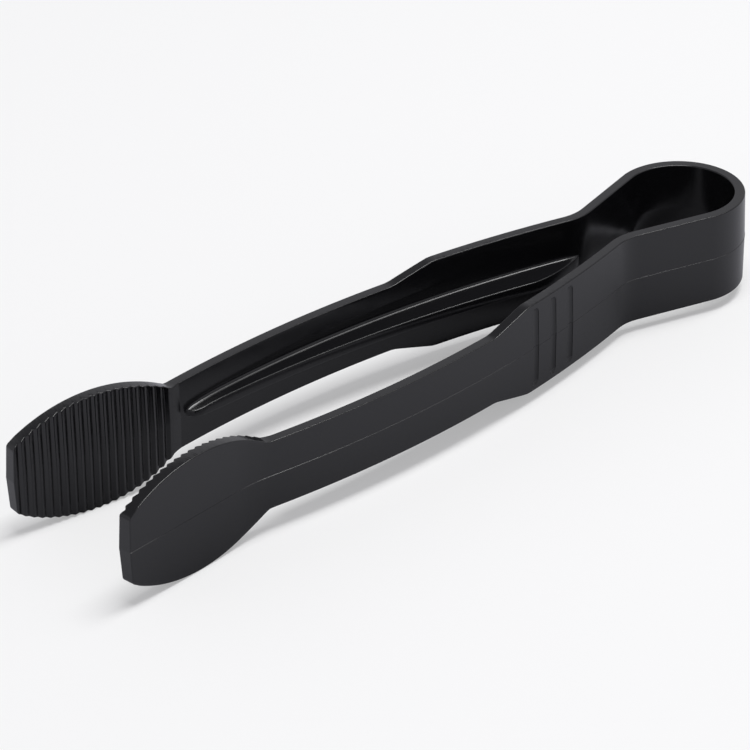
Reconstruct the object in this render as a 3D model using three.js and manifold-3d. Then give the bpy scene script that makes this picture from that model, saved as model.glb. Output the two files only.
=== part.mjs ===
// Spring loaded kitchen tongs: one black plastic band, bent like a hairpin, that lies on its edge.
// The bend is the spring bow. From it each arm runs through a pinched neck, a handle with grip
// grooves and a slim forearm with a stiffening rib, to a round jaw with teeth.
// The band is one moulding. It is cut here into its named stretches, with a fine seam between
// them, so that the arms can turn about the neck, where the moulding flexes.
// Millimetres and degrees. +X runs from the jaws to the bow, +Y to the right arm, +Z up.
// The origin is the middle of the outline, on the surface that the tongs lie on.
import * as THREE from "three";
import { mergeVertices } from "three/addons/utils/BufferGeometryUtils.js";
import Module from "manifold-3d";

// Overall sizes
const overallLength = 229;
const jawHeight = 32.3;
const gripHeight = 25.5;
const forearmHeight = 18.9;

// The band: its thickness on the parting plane, and the draft that thins it towards both edges
const wall = 3.3;
const draft = 1.5;
const partingLand = 0.2;

// Plan of one half, along the middle of the band from the bow's apex to the tip
const bowRadius = 16.1;
const bowTurn = 105.8;
const neckLength = 22.5;
const neckRadius = 14.5;
const handleLean = 15;
const rootLean = 6.6;
const rootRadius = 55;
const jawLean = 6;
const jawStraight = 36.8;

// Jaw: each rim is an arc, and the jaw is tallest some way back from the tip
const jawRimRadius = 43.75;
const jawTallestFromTip = 24;

// Teeth on the jaw's inner face, and the shoulder that leads from them to the forearm
const toothCount = 18;
const toothPitch = 2.4;
const toothDepth = 0.68;
const toothRise = 0.84;
const firstValleyFromTip = 1.9;
const toothRootRecess = -0.1;
const shoulderLength = 5.3;

// Handle: from the bend of the neck to the slope that leads down to the forearm
const gripLength = 42.4;
const slopeLength = 13;

// Grip grooves, upright, on the handle's outer face
const grooveCount = 3;
const groovePitch = 7.5;
const grooveWidth = 2.5;
const grooveDepth = 0.7;
const grooveFromSlope = 3;
const grooveFromEdge = 1.5;

// Rib on the arm's inner face: its nose is behind the shoulder and its heel in the neck
const ribThickness = 3.4;
const ribNoseFromShoulder = 1.7;
const ribNoseDepth = 2.9;
const ribNoseLength = 5.5;
const ribHeelDepth = 7;
const ribHeelLength = 18;
const ribHeelPastBend = 3;
const ribCrown = 0.75;

// Clearances
const seam = 0.3;
const flexSeam = 0.4;

const wasm = await Module();
wasm.setup();

const plastic = { color: 0x1b1b1d, roughness: 0.22, metalness: 0 };
const arcStep = THREE.MathUtils.degToRad(4);
const rimSegments = 20;
const shortestEdge = 0.5;

// ------------------------------------------------------------ the middle line of the band

const degrees = THREE.MathUtils.degToRad;
const sine = (angle) => Math.sin(degrees(angle));
const cosine = (angle) => Math.cos(degrees(angle));

// The long arc of the arm takes up what the other stretches leave of the overall length.
const apexX = overallLength / 2 - wall / 2;
const bowLean = bowTurn - 90;
const bowReach = bowRadius * (1 + sine(bowLean));
const neckReach = neckLength * cosine(bowLean) + neckRadius * (sine(bowLean) + sine(handleLean));
const rootReach = rootRadius * (sine(rootLean) + sine(jawLean));
const jawReach = jawStraight * cosine(jawLean);
const armReach = overallLength - wall / 2 - bowReach - neckReach - rootReach - jawReach;
const armRadius = armReach / (sine(handleLean) + sine(rootLean));

// An arc or a line: its length, and its turn to the left in radians.
function arc(radius, turn) {
  return { length: radius * degrees(Math.abs(turn)), turn: degrees(turn) };
}
const stretches = [
  arc(bowRadius, bowTurn),
  { length: neckLength, turn: 0 },
  arc(neckRadius, -bowLean - handleLean),
  arc(armRadius, handleLean + rootLean),
  arc(rootRadius, -rootLean - jawLean),
  { length: jawStraight, turn: 0 },
];
const lengthOf = (count) => stretches.slice(0, count).reduce((sum, { length }) => sum + length, 0);
const bowEnd = lengthOf(1);
const neckEnd = lengthOf(3);
const tip = lengthOf(stretches.length);

// The point and heading at a distance from the apex along the right half. A negative distance
// lies on the left half, headed towards the apex. Past the tip the last line runs on.
function middleAt(distance) {
  const place = { x: apexX, y: 0, heading: Math.PI / 2 };
  let left = Math.abs(distance);
  for (const stretch of stretches) {
    const run = stretch === stretches.at(-1) ? left : Math.min(left, stretch.length);
    const turn = (stretch.turn * run) / stretch.length;
    const chord = turn === 0 ? run : (2 * run * Math.sin(turn / 2)) / turn;
    place.x += chord * Math.cos(place.heading + turn / 2);
    place.y += chord * Math.sin(place.heading + turn / 2);
    place.heading += turn;
    left -= run;
  }
  return distance < 0 ? { x: place.x, y: -place.y, heading: Math.PI - place.heading } : place;
}

// The point beside the middle line. A positive offset is on the outer side of the band.
function beside(distance, offset) {
  const { x, y, heading } = middleAt(distance);
  return new THREE.Vector2(x + offset * Math.sin(heading), y - offset * Math.cos(heading));
}

// Where the middle line needs a point: at both ends of each stretch, and along each arc.
const breaks = stretches.flatMap(({ length, turn }, index) => {
  const steps = Math.max(1, Math.ceil(Math.abs(turn) / arcStep));
  return Array.from({ length: steps }, (_, step) => lengthOf(index) + (length * step) / steps);
});
const bothHalves = [...breaks.slice(1).map((place) => -place).reverse(), ...breaks];
const stations = (from, to) => [
  from,
  ...bothHalves.filter((place) => place > from + shortestEdge && place < to - shortestEdge),
  to,
];
const line = (from, to, offset) => stations(from, to).map((place) => beside(place, offset));

// ------------------------------------------------------------ solids

function solid(geometry) {
  const bare = geometry.clone();
  bare.deleteAttribute("normal");
  bare.deleteAttribute("uv");
  const merged = mergeVertices(bare, 1e-4);
  return new wasm.Manifold(
    new wasm.Mesh({
      numProp: 3,
      vertProperties: merged.attributes.position.array,
      triVerts: new Uint32Array(merged.index.array),
    }),
  );
}

// A plan outline drawn up to full height, thinner towards both edges by the draft.
function drafted(outline, height) {
  const rise = (height - partingLand) / 2;
  const lost = rise * Math.tan(degrees(draft));
  const geometry = new THREE.ExtrudeGeometry(new THREE.Shape(outline), {
    depth: partingLand,
    bevelThickness: rise,
    bevelSize: lost,
    bevelOffset: -lost,
    bevelSegments: 1,
  });
  return solid(geometry.translate(0, 0, -partingLand / 2));
}

// A plan outline with upright sides, its middle on the parting plane.
function upright(outline, height) {
  const options = { depth: height, bevelEnabled: false, curveSegments: rimSegments };
  const shape = outline instanceof THREE.Shape ? outline : new THREE.Shape(outline);
  return solid(new THREE.ExtrudeGeometry(shape, options).translate(0, 0, -height / 2));
}

// A side outline in X and Z, drawn across the whole width of the tongs.
function across(shape) {
  const width = overallLength;
  const options = { depth: width, bevelEnabled: false, curveSegments: rimSegments };
  const geometry = new THREE.ExtrudeGeometry(shape, options).translate(0, 0, -width / 2);
  return solid(geometry.rotateX(Math.PI / 2));
}

// The part of a band that lies between two cuts square to the middle line.
function between(body, from, to) {
  const reach = wall * 3;
  const outline = [...line(from, to, reach), ...line(from, to, -reach).reverse()];
  return body.intersect(upright(outline, jawHeight * 2));
}

function plainBand(from, to, height) {
  const outline = [
    ...line(from - wall, to + wall, wall / 2),
    ...line(from - wall, to + wall, -wall / 2).reverse(),
  ];
  return between(drafted(outline, height), from, to);
}

// ------------------------------------------------------------ places along the arm

const hinge = bowEnd + neckLength / 2;
const slopeTop = neckEnd + gripLength;
const slopeFoot = slopeTop + slopeLength;
const lastValley = tip - firstValleyFromTip - toothCount * toothPitch;
const shoulderEnd = lastValley - shoulderLength;

// ------------------------------------------------------------ sub-parts

const springBow = () => plainBand(-hinge + flexSeam / 2, hinge - flexSeam / 2, gripHeight);

const neck = () => plainBand(hinge + flexSeam / 2, neckEnd, gripHeight);

// Full height over the grip, then a slope down to the forearm's height.
function handle() {
  const topX = middleAt(slopeTop).x;
  const footX = middleAt(slopeFoot).x;
  const profile = new THREE.Shape([
    new THREE.Vector2(apexX, gripHeight / 2),
    new THREE.Vector2(topX, gripHeight / 2),
    new THREE.Vector2(footX, forearmHeight / 2),
    new THREE.Vector2(footX - slopeLength, forearmHeight / 2),
    new THREE.Vector2(footX - slopeLength, -forearmHeight / 2),
    new THREE.Vector2(footX, -forearmHeight / 2),
    new THREE.Vector2(topX, -gripHeight / 2),
    new THREE.Vector2(apexX, -gripHeight / 2),
  ]);
  let body = plainBand(neckEnd + seam, slopeFoot, gripHeight).intersect(across(profile));
  for (let index = 0; index < grooveCount; index++) {
    body = body.subtract(grooveCutter(slopeTop - grooveFromSlope - index * groovePitch));
  }
  return body;
}

// A round-ended upright rod that dips into the outer face by the groove's depth.
function grooveCutter(place) {
  const radius = (grooveWidth ** 2 / 4 + grooveDepth ** 2) / (2 * grooveDepth);
  const straight = gripHeight - 2 * grooveFromEdge - 2 * radius;
  const axis = beside(place, wall / 2 - grooveDepth + radius);
  const rod = new THREE.CapsuleGeometry(radius, straight, 4, 24).rotateX(Math.PI / 2);
  return solid(rod.translate(axis.x, axis.y, 0));
}

function forearm() {
  const flat = new THREE.Shape([
    new THREE.Vector2(apexX, -forearmHeight / 2),
    new THREE.Vector2(apexX, forearmHeight / 2),
    new THREE.Vector2(-overallLength / 2, forearmHeight / 2),
    new THREE.Vector2(-overallLength / 2, -forearmHeight / 2),
  ]);
  return plainBand(slopeFoot + seam, shoulderEnd, gripHeight).intersect(across(flat));
}

// A flat bar on the inner face: round nose, long crowned edge, slanted heel.
function rib() {
  const foot = -wall / 2 - seam;
  const noseStart = shoulderEnd - ribNoseFromShoulder;
  const heelStart = neckEnd - ribHeelPastBend;
  const noseCorner = beside(noseStart, foot - ribNoseDepth);
  const edgeStart = beside(noseStart - ribNoseLength, foot - ribNoseDepth);
  const heelCorner = beside(heelStart + ribHeelLength * 0.6, foot - ribHeelDepth);
  const edgeEnd = beside(heelStart + ribHeelLength, foot - ribHeelDepth);
  const crown = edgeStart.clone().lerp(edgeEnd, 0.5);
  crown.y += 2 * ribCrown;
  const shape = new THREE.Shape([beside(noseStart, foot)]);
  shape.quadraticCurveTo(noseCorner.x, noseCorner.y, edgeStart.x, edgeStart.y);
  shape.quadraticCurveTo(crown.x, crown.y, edgeEnd.x, edgeEnd.y);
  const heel = beside(heelStart, foot);
  shape.quadraticCurveTo(heelCorner.x, heelCorner.y, heel.x, heel.y);
  for (const point of line(heelStart, noseStart, foot).slice(1)) shape.lineTo(point.x, point.y);
  return upright(shape, ribThickness);
}

// A leaf with arched rims and a row of teeth on its inner face.
function jaw() {
  const root = shoulderEnd + seam;
  const crest = -wall / 2 + toothRootRecess - toothDepth;
  const valley = -wall / 2 + toothRootRecess;
  const inner = [beside(lastValley - toothRise, crest)];
  for (let index = 0; index < toothCount; index++) {
    const start = lastValley + index * toothPitch;
    inner.push(beside(start, valley), beside(start + toothPitch - toothRise, crest));
  }
  inner.push(beside(tip - firstValleyFromTip, valley), beside(tip, crest));
  const outline = [
    ...line(root - wall, tip, wall / 2),
    ...[...line(root - wall, shoulderEnd, -wall / 2), ...inner].reverse(),
  ];
  return between(drafted(outline, jawHeight), root, tip + wall).intersect(across(jawProfile()));
}

function jawProfile() {
  const tipX = -overallLength / 2 - wall;
  const centreX = -overallLength / 2 + jawTallestFromTip;
  const drop = jawHeight / 2 - jawRimRadius;
  const half = forearmHeight / 2;
  const tipAngle = Math.acos((tipX - centreX) / jawRimRadius);
  const rootAngle = Math.asin((half - drop) / jawRimRadius);
  const shape = new THREE.Shape();
  shape.moveTo(apexX, half);
  shape.lineTo(centreX + jawRimRadius * Math.cos(rootAngle), half);
  shape.absarc(centreX, drop, jawRimRadius, rootAngle, tipAngle, false);
  shape.absarc(centreX, -drop, jawRimRadius, -tipAngle, -rootAngle, false);
  shape.lineTo(apexX, -half);
  return shape;
}

// ------------------------------------------------------------ assembly

function mesh(name, body) {
  const { numProp, vertProperties, triVerts } = body.getMesh();
  const geometry = new THREE.BufferGeometry();
  geometry.setAttribute("position", new THREE.BufferAttribute(vertProperties, numProp));
  geometry.setIndex(new THREE.BufferAttribute(triVerts, 1));
  geometry.computeVertexNormals();
  const part = new THREE.Mesh(geometry, new THREE.MeshStandardMaterial(plastic));
  part.name = name;
  return part;
}

function arm(side) {
  const group = new THREE.Group();
  group.add(
    mesh(`${side}_neck`, neck()),
    mesh(`${side}_handle`, handle()),
    mesh(`${side}_forearm`, forearm()),
    mesh(`${side}_rib`, rib()),
    mesh(`${side}_jaw`, jaw()),
  );
  return group;
}

const tongs = new THREE.Group();
const rightArm = arm("right");
const leftArm = arm("left");
leftArm.scale.y = -1;
tongs.add(mesh("spring_bow", springBow()), rightArm, leftArm);
tongs.position.z = jawHeight / 2;

export default tongs;
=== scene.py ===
# %% [markdown]
# # Spring loaded kitchen tongs
# The tongs are one moulding of stiff black plastic: a band about three millimetres thick, bent like
# a hairpin, that lies on its edge. The band's own bow is the spring. The working model knows the
# band as named stretches that ride on three bodies, the bow and the two arms, and this lesson makes
# the moulding's real surface around it: one run of band for the bow and one for each arm, which
# meet where the band is straight, and a stiffening rib on each arm.

# %% Load the working model
from math import ceil, cos, degrees, pi, radians, sin, sqrt
import bmesh
import bpy
from mathutils import Matrix, Vector


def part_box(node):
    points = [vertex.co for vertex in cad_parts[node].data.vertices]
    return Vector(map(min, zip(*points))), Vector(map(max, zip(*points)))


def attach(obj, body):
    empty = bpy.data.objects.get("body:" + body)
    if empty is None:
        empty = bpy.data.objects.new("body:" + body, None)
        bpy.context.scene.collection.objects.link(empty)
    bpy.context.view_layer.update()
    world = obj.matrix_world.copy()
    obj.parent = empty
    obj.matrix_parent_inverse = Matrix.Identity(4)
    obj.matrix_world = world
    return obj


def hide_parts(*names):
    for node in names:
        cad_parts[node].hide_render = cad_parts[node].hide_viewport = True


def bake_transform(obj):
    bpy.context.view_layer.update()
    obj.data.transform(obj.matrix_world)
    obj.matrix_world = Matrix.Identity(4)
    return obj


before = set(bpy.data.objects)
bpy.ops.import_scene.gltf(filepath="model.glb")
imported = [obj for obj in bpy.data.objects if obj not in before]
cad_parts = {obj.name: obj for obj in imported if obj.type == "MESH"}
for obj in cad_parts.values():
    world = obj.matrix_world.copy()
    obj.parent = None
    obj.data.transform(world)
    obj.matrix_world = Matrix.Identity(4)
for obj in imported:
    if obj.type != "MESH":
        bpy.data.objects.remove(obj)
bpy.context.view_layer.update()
MM = 0.001

# %% [markdown]
# ## Sizes
# Everything is drawn in millimetres and turned to metres at the end. The overall sizes are read
# from the working model, so the surface can't drift away from the solids that it stands for. The
# shape of the band in plan is a chain of arcs and straights, as a tool maker would draw it.


# %% Read the overall sizes
def box_mm(node):
    low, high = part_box(node)
    return Vector(low) / MM, Vector(high) / MM


bow_low, bow_high = box_mm("spring_bow")
forearm_low, forearm_high = box_mm("right_forearm")
handle_low = box_mm("right_handle")[0]
jaw_low, jaw_high = box_mm("right_jaw")

parting_z = (bow_low.z + bow_high.z) / 2
grip_half = (bow_high.z - bow_low.z) / 2
forearm_half = (forearm_high.z - forearm_low.z) / 2
jaw_half = (jaw_high.z - jaw_low.z) / 2
tip_x = -bow_high.x
print(f"half heights: grip {grip_half:.2f}, forearm {forearm_half:.2f}, jaw {jaw_half:.2f} mm")

# %% Lay out the middle line of one arm
wall = 3.3
bow_radius = 16.1
bow_turn = radians(105.8)
neck_length = 22.5
neck_radius = 14.5
handle_lean = radians(15)
root_lean = radians(6.6)
root_radius = 55
jaw_lean = radians(6)
jaw_straight = 36.8

apex_x = bow_high.x - wall / 2
bow_lean = bow_turn - pi / 2
arm_reach = apex_x - tip_x - jaw_straight * cos(jaw_lean)
arm_reach -= bow_radius * (1 + sin(bow_lean)) + neck_length * cos(bow_lean)
arm_reach -= neck_radius * (sin(bow_lean) + sin(handle_lean))
arm_reach -= root_radius * (sin(root_lean) + sin(jaw_lean))
arm_radius = arm_reach / (sin(handle_lean) + sin(root_lean))

stretches = [
    (bow_radius * bow_turn, bow_turn),
    (neck_length, 0),
    (neck_radius * (bow_lean + handle_lean), -bow_lean - handle_lean),
    (arm_radius * (handle_lean + root_lean), handle_lean + root_lean),
    (root_radius * (root_lean + jaw_lean), -root_lean - jaw_lean),
    (jaw_straight, 0),
]
bow_end = stretches[0][0]
neck_start, neck_stop = bow_end, bow_end + neck_length
neck_end = neck_stop + stretches[2][0]
tip = sum(length for length, turn in stretches)
print(f"middle line of one arm: {tip:.1f} mm, its long arc has a radius of {arm_radius:.0f} mm")


# %% Walk along the middle line
def place(distance):
    """The point and heading at a distance from the bow's apex, on the right arm."""
    x, y, heading, remaining = apex_x, 0.0, pi / 2, distance
    for index, (length, turn) in enumerate(stretches):
        last = index == len(stretches) - 1
        run = remaining if last else min(remaining, length)
        bend = turn * run / length
        chord = 2 * run * sin(bend / 2) / bend if bend else run
        x += chord * cos(heading + bend / 2)
        y += chord * sin(heading + bend / 2)
        heading += bend
        remaining -= run
    return x, y, heading


def beside(distance, offset):
    """The point beside the middle line; a positive offset is on the outer side of the band."""
    x, y, heading = place(distance)
    return Vector((x + offset * sin(heading), y - offset * cos(heading), 0))


print(f"the tip stands at {beside(tip, 0).to_tuple(1)}")

# %% [markdown]
# ## The section of the band
# The mould opens upwards and downwards from a parting plane at half height, so the wall is thickest
# there and has draft towards both edges. The two halves of a mould never shut quite perfectly, and
# a hair of plastic stands proud along the parting plane, here on the outer side, where it shows.
# The section is one face: six corners, of which four are rounded by a vertex bevel, then cut at a
# few levels so that the surface has rows of vertices where the grooves and the parting line need
# them.

# %% Draw the section
edge_wall = 2.85
edge_round = 0.3
flash_half = 0.045
flash_proud = 0.065
groove_from_edge = 1.5
groove_half = 1.25
plain_levels = [3.5, 7.0]
end_steps = 7
past_groove = 0.15
near_zero = 1e-4

groove_stop = grip_half - groove_from_edge
end_levels = [groove_stop - groove_half * sin(pi / 2 * step / end_steps)
              for step in range(end_steps + 1)]
upper_levels = [flash_half] + plain_levels + end_levels[::-1] + [groove_stop + past_groove]
levels = [0] + upper_levels + [-z for z in upper_levels]


def cut_level(bm, geometry, z):
    cut = bmesh.ops.bisect_plane(
        bm, geom=geometry, dist=1e-5, plane_co=(0, 0, z), plane_no=(0, 0, 1)
    )
    return cut["geom"]


def draw_section(bm):
    """The band's section at full grip height as faces in the YZ plane, +Y to the outer side."""
    corners = [(edge_wall, grip_half), (wall, 0), (edge_wall, -grip_half)]
    points = [(width / 2, z) for width, z in corners]
    points += [(-width / 2, z) for width, z in corners[::-1]]
    verts = [bm.verts.new((0, y, z)) for y, z in points]
    bm.faces.new(verts)
    bmesh.ops.bevel(
        bm, geom=[vert for vert in verts if abs(vert.co.z) > near_zero], affect="VERTICES",
        offset=edge_round, segments=4, profile=0.5, material=-1,
    )
    for level in levels:
        cut_level(bm, bm.faces[:] + bm.edges[:] + bm.verts[:], level)
    for vert in bm.verts:
        if abs(vert.co.z) < near_zero and vert.co.y > 0:
            vert.co.y += flash_proud
    return [edge for edge in bm.edges if edge.is_boundary]


sample = bmesh.new()
rim = draw_section(sample)
print(f"the section has {len(rim)} edges round it and {len(sample.faces)} faces")
sample.free()

# %% [markdown]
# ## Heights along the band
# Seen from the side, the band is full height from the bow to the end of the grip, slopes down to
# the slim forearm, and swells to the leaf of the jaw, whose rims are two arcs. A curve like this is
# one number for each place, the half height, and each ring of the band is stretched to it. The
# corners of the outline are eased by averaging over a millimetre and a half, as the mould maker's
# cutter leaves them.

# %% Work out the half height at any place
grip_length = 42.4
slope_foot_inset = 0.2
jaw_rim_radius = 43.75
jaw_tallest_from_tip = 24
outline_ease = 0.8

slope_top = neck_end + grip_length
slope_top_x = place(slope_top)[0]
slope_foot_x = handle_low.x + slope_foot_inset
jaw_tallest_x = tip_x + jaw_tallest_from_tip
rim_centre_z = jaw_half - jaw_rim_radius


def averaged(curve, middle, ease, samples):
    """The curve's mean over a short stretch to each side of a place, which eases its corners."""
    near = [middle + ease * (2 * step / (samples - 1) - 1) for step in range(samples)]
    return sum(curve(spot) for spot in near) / samples


def sharp_half_height(x):
    share = min(1, max(0, (x - slope_foot_x) / (slope_top_x - slope_foot_x)))
    arm = forearm_half + (grip_half - forearm_half) * share
    reach = jaw_rim_radius**2 - (x - jaw_tallest_x) ** 2
    leaf = rim_centre_z + sqrt(reach) if reach > 0 else 0
    return max(arm, leaf)


def half_height(x):
    return averaged(sharp_half_height, x, outline_ease, samples=9)


print(f"half height at the tip: {half_height(tip_x):.2f} mm")

# %% [markdown]
# ## Teeth and shoulder
# The jaw's inner face has upright saw teeth. Each rises steeply on the side that faces the tip and
# falls gently on the side that faces the bow. The roots stand just proud of the arm's inner face,
# and behind the last crest a long ramp leads back down to it. Again one number for each place is
# enough: how far the inner face is moved outwards. Averaging over a sixth of a millimetre to each
# side rounds the crests and the roots, as worn steel does in a mould.

# %% Work out the tooth profile
tooth_count = 18
tooth_pitch = 2.4
tooth_depth = 0.68
tooth_rise = 0.84
root_recess = -0.1
first_valley = 1.9
shoulder_length = 5.3
tooth_ease = 0.17

last_valley = first_valley + tooth_count * tooth_pitch
shoulder_end = last_valley + shoulder_length


def sharp_recess(from_tip):
    """How far the inner face lies outwards of the arm's inner face."""
    if from_tip < first_valley:
        fall = tooth_pitch - tooth_rise
        return root_recess - tooth_depth * min(1, (first_valley - from_tip) / fall)
    if from_tip < last_valley:
        along = (from_tip - first_valley) % tooth_pitch
        rise = along / tooth_rise
        fall = (tooth_pitch - along) / (tooth_pitch - tooth_rise)
        return root_recess - tooth_depth * min(rise, fall)
    past = from_tip - last_valley
    if past < tooth_rise:
        return root_recess - tooth_depth * past / tooth_rise
    ramp = (shoulder_length - past) / (shoulder_length - tooth_rise)
    return (root_recess - tooth_depth) * max(0, ramp)


def recess(from_tip):
    return averaged(sharp_recess, from_tip, tooth_ease, samples=7)


print(f"{tooth_count} teeth end {last_valley:.1f} mm from the tip")
print(f"the shoulder ends {shoulder_end:.1f} mm from the tip")

# %% [markdown]
# ## Grip grooves
# Three upright grooves with round ends are let into the outer face where the thumb and fingers
# lie. A groove is a depth that depends only on how far a point is from the groove's middle line, so
# it needs no cutter: the rows and rings of vertices are close together there, and each vertex is
# sunk by the depth at its place.

# %% Work out the depth of the grooves
groove_count = 3
groove_depth = 0.6
groove_pitch = 7.5
groove_from_slope = 3
groove_fullness = 1.2
grooves = [slope_top - groove_from_slope - index * groove_pitch for index in range(groove_count)]


def groove_sink(distance, z):
    middle = min(grooves, key=lambda spot: abs(spot - distance))
    past_end = max(0, abs(z) - (groove_stop - groove_half))
    share = ((distance - middle) ** 2 + past_end**2) / groove_half**2
    return groove_depth * sqrt(1 - share**groove_fullness) if share < 1 else 0


print("groove middles:", ", ".join(f"{spot:.1f}" for spot in grooves), "mm along the arm")

# %% [markdown]
# ## The blank of an arm
# The arm is first made straight, which is the easy way to place its details: X is the distance
# along the band, Y the offset from its middle and Z the height. The section's rim is drawn along X
# in steps, close together at the teeth and grooves and wide apart on the plain stretches.

# %% Choose the places of the rings
stub = 1.0
plain_step = 1.5
closest_step = 0.35
tip_steps = [0, 0.02, 0.06, 0.13, 0.22, 0.3, 0.42, 0.6, 0.85, 1.2]
corner_steps = [-tooth_ease, -0.08, 0, 0.08, tooth_ease]
flank_steps = [1.4, 1.8]
ramp_steps = [2.2, 3.6]
groove_steps = 9
groove_margin = 0.1


def tooth_places():
    """Distances from the tip: close at each root, crest and corner, and a few on the flanks."""
    roots = [first_valley + tooth_pitch * index for index in range(tooth_count + 1)]
    crests = [root + tooth_rise for root in roots]
    corners = roots + crests + [shoulder_end]
    spots = [corner + step for corner in corners for step in corner_steps]
    spots += [root + tooth_rise / 2 for root in roots]
    spots += [root + step for root in roots[:-1] for step in flank_steps]
    return spots + [last_valley + step for step in ramp_steps]


def groove_places():
    turns = [pi / 2 * step / groove_steps for step in range(-groove_steps, groove_steps + 1)]
    spots = [middle + groove_half * sin(turn) for middle in grooves for turn in turns]
    beyond = groove_half + groove_margin
    return spots + [middle + side * beyond for middle in grooves for side in (-1, 1)]


def ring_places():
    start = bow_end + stub
    wide = [start + step * plain_step for step in range(int((tip - bow_end) / plain_step))]
    fine = [start] + groove_places() + [tip - spot for spot in tooth_places() + tip_steps]
    clear = [spot for spot in wide if min(abs(spot - other) for other in fine) > closest_step]
    return sorted(clear + fine)


print(len(ring_places()), "rings along an arm")


# %% Draw a rim along the blank
def draw_along(bm, rim, places):
    """Extrudes the rim's edges along X through the places and returns the last rim."""
    here = places[0]
    for there in places[1:]:
        made = bmesh.ops.extrude_edge_only(bm, edges=rim)["geom"]
        ring = {part for part in made if isinstance(part, bmesh.types.BMVert)}
        bmesh.ops.translate(bm, verts=list(ring), vec=(there - here, 0, 0))
        edges = [part for part in made if isinstance(part, bmesh.types.BMEdge)]
        rim = [edge for edge in edges if set(edge.verts) <= ring]
        here = there
    return rim


def cap(bm, rim):
    """Closes the rim with a face, cut at the same levels as the section."""
    faces = bmesh.ops.holes_fill(bm, edges=rim, sides=0)["faces"]
    for level in levels:
        corners = list({vert for face in faces for vert in face.verts})
        edges = list({edge for face in faces for edge in face.edges})
        cut = cut_level(bm, faces + edges + corners, level)
        faces = [part for part in cut if isinstance(part, bmesh.types.BMFace)]
    return faces


# %% Shape and bend the blank
tip_draft = 0.5
tip_draft_length = 3
tip_round = 0.3
tip_corner = 1.2


def rounded_off(from_end, radius):
    """How far a quarter round of this radius pulls a face in, near the end that it rounds."""
    short = max(0, radius - from_end)
    return radius - sqrt(radius**2 - short**2)


def shape_arm(bm):
    for vert in bm.verts:
        distance, offset, z = vert.co
        if offset > 0:
            offset -= groove_sink(distance, z)
        else:
            offset += recess(tip - distance)
        from_tip = tip - distance
        height = half_height(place(distance)[0]) - rounded_off(from_tip, tip_corner)
        offset *= 1 - rounded_off(from_tip, tip_round) / (wall / 2)
        pull = tip_draft * abs(z) / grip_half * max(0, 1 - from_tip / tip_draft_length)
        vert.co = (distance - pull, offset, z * height / grip_half)


def bend_to_plan(bm):
    for vert in bm.verts:
        spot = beside(vert.co.x, vert.co.y)
        vert.co = (spot.x, spot.y, vert.co.z + parting_z)


# %% [markdown]
# ## From mesh to object
# Every piece ends the same way: normals are recalculated outwards, millimetres become metres, the
# faces are shaded smooth with true edges left sharp, and a Weighted Normal modifier lets the large
# flat faces keep their flatness beside the small rounded ones. The left pieces are the right ones
# mirrored across the middle plane.

# %% Finish a piece
sharp_angle = radians(38)


def finish_piece(bm, name, body, mirrored=False):
    if mirrored:
        bmesh.ops.scale(bm, vec=(1, -1, 1), verts=bm.verts[:])
    bmesh.ops.scale(bm, vec=(MM, MM, MM), verts=bm.verts[:])
    bmesh.ops.recalc_face_normals(bm, faces=bm.faces[:])
    mesh = bpy.data.meshes.new(name)
    bm.to_mesh(mesh)
    bm.free()
    mesh.shade_smooth()
    mesh.set_sharp_from_angle(angle=sharp_angle)
    piece = bpy.data.objects.new(name, mesh)
    bpy.context.scene.collection.objects.link(piece)
    weighted = piece.modifiers.new("flat faces stay flat", "WEIGHTED_NORMAL")
    weighted.keep_sharp = True
    print(f"{name}: {len(mesh.polygons)} faces on {body}")
    return piece


# %% Make the two arms
def make_arm(side):
    bm = bmesh.new()
    rim = draw_section(bm)
    places = ring_places()
    bmesh.ops.translate(bm, verts=bm.verts[:], vec=(places[0], 0, 0))
    cap(bm, draw_along(bm, rim, places))
    shape_arm(bm)
    bend_to_plan(bm)
    piece = finish_piece(bm, f"{side}_arm_moulding", f"{side}_arm", mirrored=side == "left")
    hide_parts(*[f"{side}_{part}" for part in ("neck", "handle", "forearm", "jaw")])
    across = -1 if side == "left" else 1
    start = beside(neck_start + stub, 0) * MM
    end = beside(neck_stop, 0) * MM
    start.y *= across
    end.y *= across
    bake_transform(piece)
    return piece


arms = [make_arm(side) for side in ("left", "right")]

# %% [markdown]
# ## The spring bow
# The bow is a true circular arc, so it is spun: the section stands at the apex and is turned round
# the bow's centre to the right. A short straight stub follows, so that the bow meets the arm on a
# flat stretch where the joint can't be seen. The other half is a mirror image, welded at the apex.

# %% Spin the bow
bow_step = 2


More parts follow.
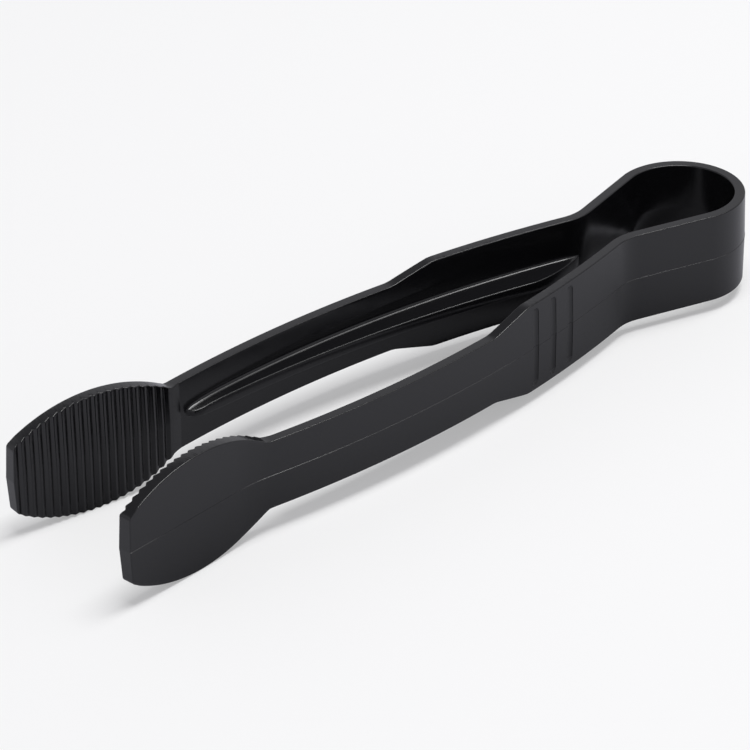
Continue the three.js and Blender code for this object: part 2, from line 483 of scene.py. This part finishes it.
def make_bow():
    bm = bmesh.new()
    rim = draw_section(bm)
    bmesh.ops.delete(bm, geom=bm.faces[:], context="FACES_KEEP_BOUNDARY")
    inner = [edge for edge in bm.edges if edge not in set(rim)]
    bmesh.ops.delete(bm, geom=inner, context="EDGES")
    # The section's +Y, the outer side, is turned to +X, away from the bow's centre.
    outwards = Matrix.Rotation(-pi / 2, 3, "Z")
    bmesh.ops.rotate(bm, verts=bm.verts[:], cent=(0, 0, 0), matrix=outwards)
    bmesh.ops.translate(bm, verts=bm.verts[:], vec=(apex_x, 0, parting_z))
    rim = bm.edges[:]
    steps = ceil(degrees(bow_turn) / bow_step)
    centre = (apex_x - bow_radius, 0, parting_z)
    spun = bmesh.ops.spin(
        bm, geom=rim + bm.verts[:], cent=centre, axis=(0, 0, 1), angle=bow_turn, steps=steps,
    )["geom_last"]
    last = [part for part in spun if isinstance(part, bmesh.types.BMEdge)]
    heading = pi / 2 + bow_turn
    made = bmesh.ops.extrude_edge_only(bm, edges=last)["geom"]
    ring = {part for part in made if isinstance(part, bmesh.types.BMVert)}
    bmesh.ops.translate(bm, verts=list(ring), vec=(stub * cos(heading), stub * sin(heading), 0))
    edges = [part for part in made if isinstance(part, bmesh.types.BMEdge)]
    bmesh.ops.holes_fill(bm, edges=[edge for edge in edges if set(edge.verts) <= ring], sides=0)
    bmesh.ops.mirror(
        bm, geom=bm.verts[:] + bm.edges[:] + bm.faces[:], axis="Y", merge_dist=1e-3,
    )
    bmesh.ops.remove_doubles(bm, verts=bm.verts[:], dist=1e-3)
    piece = finish_piece(bm, "spring_bow_band", "bow")
    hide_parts("spring_bow")
    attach(piece, "bow")
    return piece


bow = make_bow()

# %% [markdown]
# ## The stiffening ribs
# A rib runs along each arm's inner face, from the neck to behind the jaw, and grows out of the
# face with a fillet above and below. Its section is drawn once at its full depth; each ring along
# the arm then keeps the fillets and pulls the rib's edge in to the depth wanted there. The root of
# the section lies inside the band, so that no gap can show along the fillets.

# %% Draw the rib's section
rib_half = 1.7
rib_edge_half = 1.45
rib_fillet = 1.2
rib_round = 0.35
rib_depth = 7.0
rib_root = 0.9


def draw_rib_section(bm):
    """The rib's outline in the YZ plane; -Y is its depth, measured from the inner face."""
    fillet_steps = 6
    side = [(rib_root, rib_half + rib_fillet)]
    for step in range(fillet_steps + 1):
        turn = pi / 2 * step / fillet_steps
        side.append((-rib_fillet * (1 - cos(turn)), rib_half + rib_fillet * (1 - sin(turn))))
    side += [(-rib_depth, rib_edge_half), (-rib_depth - flash_proud, 0)]
    mirror_side = [(y, -z) for y, z in side[:-1]][::-1]
    verts = [bm.verts.new((0, y, z)) for y, z in side + mirror_side]
    bm.faces.new(verts)
    bmesh.ops.bevel(
        bm, geom=[vert for vert in verts if abs(vert.co.y + rib_depth) < near_zero],
        affect="VERTICES", offset=rib_round, segments=3, profile=0.5, material=-1,
    )
    return [edge for edge in bm.edges if edge.is_boundary]


# %% Shape the rib along the arm
nose_from_shoulder = 1.7
nose_depth = 2.9
nose_length = 5.5
nose_lead = 1.4
nose_narrow = 0.25
nose_taper = 13
nose_roundness = 2.4
heel_past_bend = 3
heel_length = 18
heel_roundness = 1.7
crown = 0.4
rib_start = neck_end - heel_past_bend
rib_stop = tip - shoulder_end - nose_from_shoulder


def depth_at(distance):
    """The rib's depth: a round nose, a long crowned edge and a slanted heel."""
    from_nose, from_heel = rib_stop - distance, distance - rib_start
    long = (from_nose - nose_length) / (rib_stop - rib_start - nose_length - heel_length)
    share = min(1, max(0, long))
    edge = nose_depth + (rib_depth - nose_depth) * share + crown * 4 * share * (1 - share)
    nose = min(1, max(0, from_nose / nose_length))
    heel = min(1, max(0, from_heel / heel_length))
    lead = min(1, max(0, from_nose / nose_lead))
    eased = lead * lead * (3 - 2 * lead)
    nose_share = sqrt(1 - (1 - nose) ** nose_roundness)
    heel_share = 1 - (1 - heel) ** heel_roundness
    return edge * eased * nose_share * heel_share


def thickness_share(distance):
    """The rib thins towards its nose, like a blade."""
    near = min(1, max(0, (rib_stop - distance) / nose_taper))
    return nose_narrow + (1 - nose_narrow) * sqrt(near * (2 - near))


def shape_rib(bm):
    """Pulls the rib's edge in to its depth; the fillets keep their size until it is shallow."""
    for vert in bm.verts:
        distance, offset, z = vert.co
        z *= thickness_share(distance)
        if offset < 0:
            depth = depth_at(distance)
            full = max(depth, 2 * rib_fillet)
            if offset < -rib_fillet - near_zero:
                offset = min(-rib_fillet, offset + rib_depth - full)
            offset *= min(1, depth / full)
        face = -(wall / 2 - (wall - edge_wall) / 2 * abs(z) / forearm_half)
        vert.co = (distance, face + offset, z)


# %% Make the two ribs
rib_end_steps = [0, 0.25, 0.5, 0.75, 1.0, 1.25, 1.5, 1.8, 2.2, 2.7, 3.3, 4.0, 4.8, 5.8, 7.0, 8.5]
rib_end_length = 10
rib_step = 1.6


def rib_places():
    """Close together at the nose and the heel, and evenly spaced between."""
    plain = rib_stop - rib_start - 2 * rib_end_length
    count = ceil(plain / rib_step)
    places = [rib_start + spot for spot in rib_end_steps]
    places += [rib_start + rib_end_length + plain * index / count for index in range(count + 1)]
    return places + [rib_stop - spot for spot in rib_end_steps[::-1]]


def make_rib(side):
    bm = bmesh.new()
    rim = draw_rib_section(bm)
    places = rib_places()
    bmesh.ops.translate(bm, verts=bm.verts[:], vec=(places[0], 0, 0))
    bmesh.ops.holes_fill(bm, edges=draw_along(bm, rim, places), sides=0)
    shape_rib(bm)
    bend_to_plan(bm)
    piece = finish_piece(bm, f"{side}_stiffening_rib", f"{side}_arm", mirrored=side == "left")
    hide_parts(f"{side}_rib")
    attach(piece, f"{side}_arm")
    return piece


ribs = [make_rib(side) for side in ("left", "right")]

# %% [markdown]
# ## The plastic
# The tongs are moulded in black polycarbonate. It is dense black all through, and what the eye
# sees is its gloss: a clear, slightly soft reflection. The polish of the mould is not perfect, so a
# very low noise bends the reflection and another changes its softness from place to place.


# %% Build the material
def linear(hex_colour):
    """An sRGB colour such as "#0a0a0b" as linear red, green, blue and alpha."""
    parts = [int(hex_colour[start:start + 2], 16) / 255 for start in (1, 3, 5)]
    turned = [part / 12.92 if part <= 0.04045 else ((part + 0.055) / 1.055) ** 2.4
              for part in parts]
    return (*turned, 1.0)


def add_node(tree, kind, settings=None, links=None):
    """Adds a node, sets its properties and sockets, and links (node, output) pairs to sockets."""
    node = tree.nodes.new(kind)
    for name, value in (settings or {}).items():
        if name in node.inputs:
            node.inputs[name].default_value = value
        else:
            setattr(node, name, value)
    for name, (source, output) in (links or {}).items():
        tree.links.new(source.outputs[output], node.inputs[name])
    return node


def per_metre(size_mm):
    """The noise scale whose features are about size_mm across."""
    return 1 / (size_mm * MM)


def black_polycarbonate():
    material = bpy.data.materials.new("moulded_black_polycarbonate")
    material.use_nodes = True
    tree = material.node_tree
    tree.nodes.clear()
    place_node = add_node(tree, "ShaderNodeTexCoord")
    at = {"Vector": (place_node, "Object")}
    polish = add_node(tree, "ShaderNodeTexNoise", {"Scale": per_metre(6), "Detail": 3.0}, at)
    grain = add_node(tree, "ShaderNodeTexNoise", {"Scale": per_metre(0.5), "Detail": 2.0}, at)
    softness = add_node(
        tree, "ShaderNodeMapRange",
        {"From Min": 0.3, "From Max": 0.7, "To Min": 0.15, "To Max": 0.21},
        {"Value": (polish, "Fac")},
    )
    relief = add_node(
        tree, "ShaderNodeBump",
        {"Strength": 0.12, "Distance": 0.02 * MM},
        {"Height": (grain, "Fac")},
    )
    shader = add_node(
        tree, "ShaderNodeBsdfPrincipled",
        {"Base Color": linear("#111113"), "IOR": 1.585},
        {"Roughness": (softness, "Result"), "Normal": (relief, "Normal")},
    )
    add_node(tree, "ShaderNodeOutputMaterial", links={"Surface": (shader, "BSDF")})
    return material


plastic = black_polycarbonate()
for piece in arms + ribs + [bow]:
    piece.data.materials.append(plastic)
print("material:", plastic.name)

# %% [markdown]
# ## Floor and light
# Gloss black plastic has almost no colour of its own, so it looks like what it reflects: a floor
# and a surround of half brightness, a darker ceiling, a soft box overhead that draws the lines
# along the upper edges, and a weaker one past the bow. The floor and the backdrop themselves
# should look pale, so the rays that come straight from the eye meet a brighter surface than the
# rays that a reflection sends out. The floor that reflections meet also has painted shade: its
# colour is darkened where the tongs are near, which deepens the space between the arms.

# %% Lay the floor
floor_half = 6


def direct_or_reflected(tree, direct, reflected, kind):
    """Mixes two shaders: what the eye meets, and what reflections and light meet."""
    path = add_node(tree, "ShaderNodeLightPath")
    mix = add_node(tree, "ShaderNodeMixShader", links={"Fac": (path, "Is Camera Ray")})
    tree.links.new(reflected.outputs[0], mix.inputs[1])
    tree.links.new(direct.outputs[0], mix.inputs[2])
    return add_node(tree, kind, links={"Surface": (mix, "Shader")})


def pale_floor():
    bm = bmesh.new()
    bmesh.ops.create_grid(bm, x_segments=1, y_segments=1, size=floor_half)
    mesh = bpy.data.meshes.new("floor")
    bm.to_mesh(mesh)
    bm.free()
    floor = bpy.data.objects.new("floor", mesh)
    bpy.context.scene.collection.objects.link(floor)
    material = bpy.data.materials.new("pale_matt_floor")
    material.use_nodes = True
    tree = material.node_tree
    tree.nodes.clear()
    seen = add_node(
        tree, "ShaderNodeBsdfPrincipled",
        {"Base Color": linear("#cccccc"), "Roughness": 0.9, "Specular IOR Level": 0.0,
         "Emission Color": linear("#ffffff"), "Emission Strength": 0.34},
    )
    # Painted shade: an ambient occlusion node darkens the reflected floor's colour near the tongs.
    painted_shade_near_tongs = add_node(
        tree, "ShaderNodeAmbientOcclusion",
        {"samples": 8, "Color": linear("#c6c6cc"), "Distance": 60 * MM},
    )
    reflected = add_node(
        tree, "ShaderNodeBsdfPrincipled", {"Roughness": 0.9, "Specular IOR Level": 0.0},
        {"Base Color": (painted_shade_near_tongs, "Color")},
    )
    direct_or_reflected(tree, seen, reflected, "ShaderNodeOutputMaterial")
    mesh.materials.append(material)
    return floor


floor = pale_floor()

# %% Set the surround
bright_below = radians(34)
dark_above = radians(42)
bright_strength = 0.5
dark_strength = 0.2


def studio_surround():
    """Half bright near the horizon and darker overhead, with a soft change between."""
    world = bpy.data.worlds.new("studio surround")
    world.use_nodes = True
    tree = world.node_tree
    tree.nodes.clear()
    way = add_node(tree, "ShaderNodeTexCoord")
    split = add_node(tree, "ShaderNodeSeparateXYZ", links={"Vector": (way, "Generated")})
    level = add_node(
        tree, "ShaderNodeMapRange",
        {"From Min": sin(bright_below), "From Max": sin(dark_above),
         "To Min": bright_strength, "To Max": dark_strength},
        {"Value": (split, "Z")},
    )
    cool = linear("#f9f9ff")
    backdrop = add_node(
        tree, "ShaderNodeBackground", {"Color": linear("#f2f2f2"), "Strength": 1.0},
    )
    around = add_node(
        tree, "ShaderNodeBackground", {"Color": cool}, {"Strength": (level, "Result")},
    )
    direct_or_reflected(tree, backdrop, around, "ShaderNodeOutputWorld")
    bpy.context.scene.world = world


studio_surround()


# %% Hang the soft boxes
def soft_box(name, centre, size, radiance):
    """A rectangular light that hangs level, facing straight down, and is evenly bright."""
    light = bpy.data.lights.new(name, "AREA")
    light.shape = "RECTANGLE"
    light.size, light.size_y = size
    light.energy = radiance * pi * size[0] * size[1]
    lamp = bpy.data.objects.new(name, light)
    lamp.location = centre
    bpy.context.scene.collection.objects.link(lamp)
    print(f"{name}: {size[0]} x {size[1]} m, radiance {radiance}")


soft_box("overhead soft box", centre=(0.3, -0.24, 2.0), size=(1.6, 0.7), radiance=9)
soft_box("rear soft box", centre=(1.5, -0.25, 2.0), size=(0.8, 0.9), radiance=1.5)
bpy.context.scene.view_settings.view_transform = "Standard"

# %% Place the camera
azimuth, elevation, roll = radians(-41.664), radians(29.795), radians(-0.96)
aim = Vector((-15.014, -0.988, 16.15)) * MM
camera_distance = 1.06275
back = Vector((sin(azimuth) * cos(elevation), -cos(azimuth) * cos(elevation), sin(elevation)))
level_right = Vector((cos(azimuth), sin(azimuth), 0))
level_up = back.cross(level_right)
right = cos(roll) * level_right + sin(roll) * level_up
up = back.cross(right)

lens = bpy.data.cameras.new("camera")
lens.sensor_width = 36
lens.lens = 200.17
lens.clip_end = 50
camera = bpy.data.objects.new("camera", lens)
turn = Matrix((right, up, back)).transposed().to_4x4()
camera.matrix_world = Matrix.Translation(aim + back * camera_distance) @ turn
bpy.context.scene.collection.objects.link(camera)
bpy.context.scene.camera = camera
